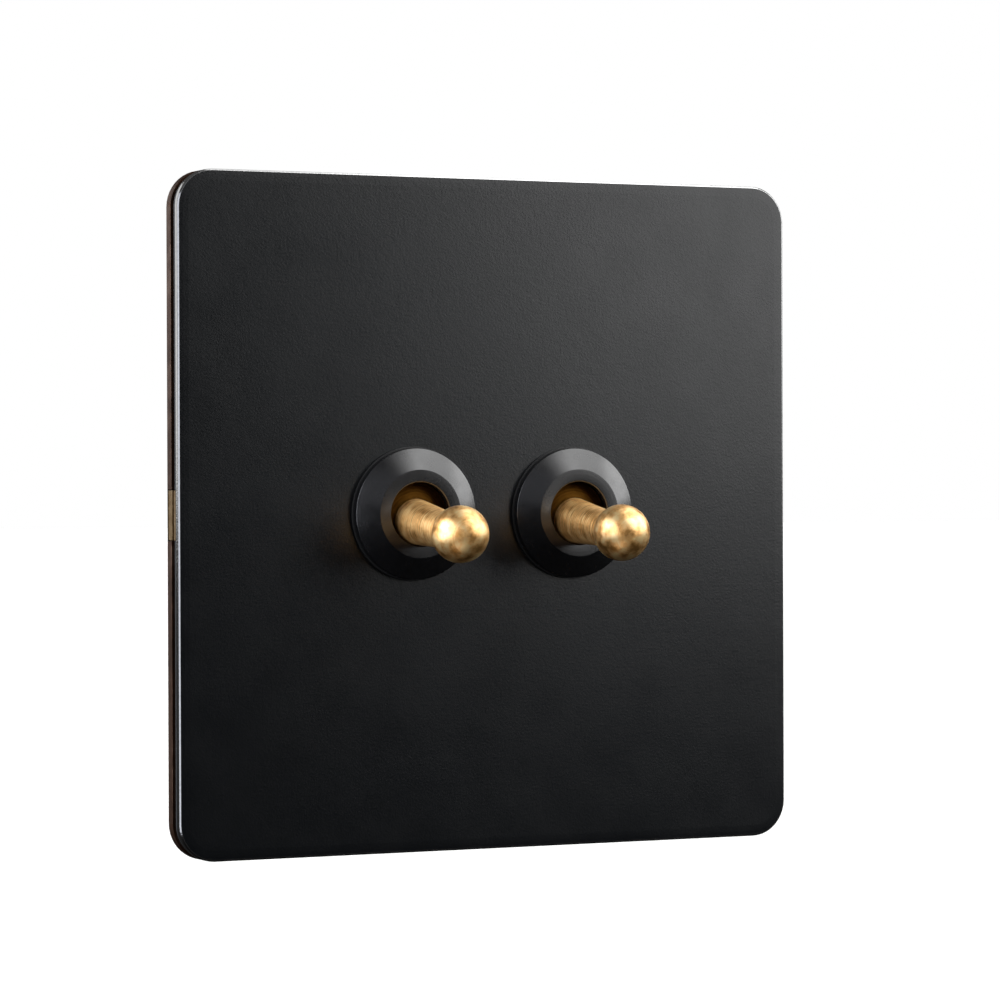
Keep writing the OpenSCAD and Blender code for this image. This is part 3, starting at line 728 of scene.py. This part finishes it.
FINISHES = {
    "black_paint": black_paint,
    "black_satin": collar_paint,
    "satin_brass": satin_brass,
    "plain_brass": plain_brass,
    "dark_brass": dark_brass,
    "clip_brass": clip_brass,
    "bronze": bronze,
    "black_nylon": black_nylon,
    "steel": zinc_steel,
    "spring_steel": spring_steel,
    "silver": silver,
    "white_nylon": white_nylon,
    "moulding": moulding,
    "green_steel": green_lacquer,
}
finishes = {slot: make() for slot, make in FINISHES.items()}


def finish_with(piece, slot):
    """Gives a piece the material of one of the record's slots."""
    piece.data.materials.clear()
    piece.data.materials.append(finishes[slot])


finish_with(face_plate(), "black_paint")
for side in SIDES:
    finish_with(collar(side), "black_satin")
    finish_with(lever(side), "satin_brass")
    finish_with(plunger_spring(side), "spring_steel")

SOFT_EDGES_MM = {
    "plate_liner": 0.06, "base_frame": 0.08, "side_clip": 0.05, "support_plate": 0.1, "frame_screws": 0.06,
    "housing_screws": 0.06, "bushing": 0.05, "collar_washer": 0.04, "pivot_pin": 0.08,
    "lever_carrier": 0.12, "plunger": 0.05, "rocker": 0.12, "moving_tips": 0.08, "common_saddle": 0.1,
    "upper_contact": 0.1, "lower_contact": 0.1, "fixed_tips": 0.06, "upper_terminal": 0.2,
    "lower_terminal": 0.2, "common_terminal": 0.2, "terminal_screws": 0.08, "housing_lid": 0.2,
    "housing": 0.25, "earth_terminal": 0.2, "earth_screw": 0.08,
}
slot_of = {part["node"]: part["material_slot"] for part in frame["record"]["subparts"]}
for node in frame["nodes"]:
    base = node.removesuffix("_left").removesuffix("_right")
    if base in SOFT_EDGES_MM:
        dress(node, SOFT_EDGES_MM[base])
    finish_with(frame["nodes"][node], slot_of[node])


# ---- camera, floor and light ----

CAMERA_AZIMUTH = -25.83
CAMERA_ELEVATION = 0.27
CAMERA_DISTANCE = 0.50367
CAMERA_ROLL = -0.2
CAMERA_LENS = 141.3
CAMERA_AIM = (0.00106, 0, 0.0017)
SENSOR_W = 36

WHITE = (1, 1, 1)
COOL = (0.93, 0.96, 1.06)
WARM = (1.1, 0.97, 0.85)
# Each lamp as its name, azimuth, elevation, distance, width, height, radiance and tint.
LAMPS = (
    ("key_wide", 55, 30, 0.33, 0.38, 0.38, 2.3, WHITE),
    ("key_side", 78, 20, 0.33, 0.11, 0.17, 3.2, WHITE),
    ("key_high", 48, 45, 0.33, 0.20, 0.14, 1.6, WHITE),
    ("key_low", 38, 10, 0.33, 0.14, 0.12, 0.8, WHITE),
    ("key_front", 20, 45, 0.33, 0.16, 0.14, 1.3, WHITE),
    ("key_top", 75, 62, 0.33, 0.20, 0.14, 1.6, WHITE),
    ("rim_top", 95, 72, 0.4, 0.25, 0.20, 1.1, WHITE),
    ("fill_left", -58, 11, 0.5, 0.26, 0.40, 4.2, COOL),
    ("side_left", -104, 16, 0.5, 0.30, 0.50, 9.0, COOL),
    ("edge_glow", -66, 4, 0.5, 0.30, 0.50, 1.1, COOL),
    ("warm_bounce", -30, -48, 0.5, 0.30, 0.20, 1.3, WARM),
    ("front", -15, 25, 0.5, 0.30, 0.30, 0.35, COOL),
    ("edge_left", -155, 14, 0.8, 0.50, 0.40, 0.85, WHITE),
    ("edge_right", 120, 20, 0.8, 0.50, 0.35, 0.5, WHITE),
)
FLOOR_REACH = 20.0
FLOOR_DROP = 0.25
FLOOR_SUN = 4.0
# The dim room's light goes from one strength to the other between two heights on the unit sphere.
ROOM_LIGHT = {"From Min": -0.6, "From Max": 0.8, "To Min": 0.006, "To Max": 0.09}


def direction(azimuth, elevation):
    """A unit vector from the object: azimuth 0 is straight out into the room and 90 is to the right."""
    a, e = math.radians(azimuth), math.radians(elevation)
    return Vector((math.sin(a) * math.cos(e), -math.cos(a) * math.cos(e), math.sin(e)))


def looking(place, aim, roll=0.0):
    """A place for a camera or a lamp that looks at a point."""
    turn = (aim - place).to_track_quat("-Z", "Y") @ Quaternion((0, 0, 1), math.radians(roll))
    return Matrix.Translation(place) @ turn.to_matrix().to_4x4()


def make_camera():
    """A camera at the photograph's viewing angle."""
    data = bpy.data.cameras.new("camera")
    data.lens = CAMERA_LENS
    data.sensor_width = SENSOR_W
    camera = bpy.data.objects.new("camera", data)
    aim = Vector(CAMERA_AIM) + Vector((0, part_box("face_plate")[0].y, 0))
    place = aim + direction(CAMERA_AZIMUTH, CAMERA_ELEVATION) * CAMERA_DISTANCE
    camera.matrix_world = looking(place, aim, CAMERA_ROLL)
    bpy.context.scene.collection.objects.link(camera)
    bpy.context.scene.camera = camera


def softbox(name, azimuth, elevation, distance, width, height, radiance, tint):
    """A rectangular lamp that faces the object; its power follows from its radiance and its size."""
    data = bpy.data.lights.new(name, "AREA")
    data.shape = "RECTANGLE"
    data.size = width
    data.size_y = height
    data.energy = radiance * math.pi * width * height
    data.color = tint
    lamp = bpy.data.objects.new(name, data)
    lamp.matrix_world = looking(direction(azimuth, elevation) * distance, Vector((0, 0, 0)))
    lamp.visible_camera = False
    bpy.context.scene.collection.objects.link(lamp)
    return lamp


def flag_lamp(lamp, objects, state):
    """Keeps a lamp's light off some objects (EXCLUDE) or on them alone (INCLUDE)."""
    flags = bpy.data.collections.new(lamp.name + "_flags")
    for each in objects:
        flags.objects.link(each)
    lamp.light_linking.receiver_collection = flags
    for member in flags.collection_objects:
        member.light_linking.link_state = state


def make_floor():
    """A plain pale floor well under the object, lit by a sun of its own so that it stays pale."""
    mesh = bpy.data.meshes.new("floor")
    quarters = ((-1, -1), (1, -1), (1, 1), (-1, 1))
    corners = [(x * FLOOR_REACH, y * FLOOR_REACH, -FLOOR_DROP) for x, y in quarters]
    mesh.from_pydata(corners, [], [(0, 1, 2, 3)])
    floor = bpy.data.objects.new("floor", mesh)
    plaster = Recipe("floor_plaster", Roughness=0.9)
    plaster.feed("Base Color", plaster.colours(plaster.noise(300, 3), (0.3, grey(0.93)), (0.7, grey(0.96))))
    mesh.materials.append(plaster.material)
    bpy.context.scene.collection.objects.link(floor)
    floor.visible_glossy = False
    floor.visible_diffuse = False
    floor.visible_shadow = False
    sun = bpy.data.objects.new("floor_sun", bpy.data.lights.new("floor_sun", "SUN"))
    sun.data.energy = FLOOR_SUN
    bpy.context.scene.collection.objects.link(sun)
    flag_lamp(sun, [floor], "INCLUDE")


def make_world():
    """White behind the object for the camera, and a dim room, darker below, for everything else."""
    world = bpy.data.worlds.new("studio")
    bpy.context.scene.world = world
    world.use_nodes = True
    tree = world.node_tree
    room = tree.nodes["Background"]
    backdrop = tree.nodes.new("ShaderNodeBackground")
    backdrop.inputs["Color"].default_value = (1, 1, 1, 1)
    path = tree.nodes.new("ShaderNodeLightPath")
    mix = tree.nodes.new("ShaderNodeMixShader")
    place = tree.nodes.new("ShaderNodeTexCoord")
    split = tree.nodes.new("ShaderNodeSeparateXYZ")
    ramp = tree.nodes.new("ShaderNodeMapRange")
    tree.links.new(place.outputs["Generated"], split.inputs[0])
    tree.links.new(split.outputs["Z"], ramp.inputs["Value"])
    for name, value in ROOM_LIGHT.items():
        ramp.inputs[name].default_value = value
    tree.links.new(ramp.outputs["Result"], room.inputs["Color"])
    tree.links.new(path.outputs["Is Camera Ray"], mix.inputs[0])
    tree.links.new(room.outputs[0], mix.inputs[1])
    tree.links.new(backdrop.outputs[0], mix.inputs[2])
    tree.links.new(mix.outputs[0], tree.nodes["World Output"].inputs[0])


make_camera()
make_floor()
make_world()
lamps = {row[0]: softbox(*row) for row in LAMPS}
plate = bpy.data.objects["face_plate_pressed"]
levers = [bpy.data.objects["lever_turned_" + side] for side in SIDES]
rear_pieces = [frame["nodes"][node] for node in ("housing", "housing_lid", "support_plate")]
flag_lamp(lamps["fill_left"], [plate], "EXCLUDE")
flag_lamp(lamps["side_left"], [plate] + rear_pieces, "EXCLUDE")
flag_lamp(lamps["edge_glow"], [plate], "INCLUDE")
flag_lamp(lamps["warm_bounce"], levers, "INCLUDE")
bpy.context.scene.view_settings.view_transform = "Standard"
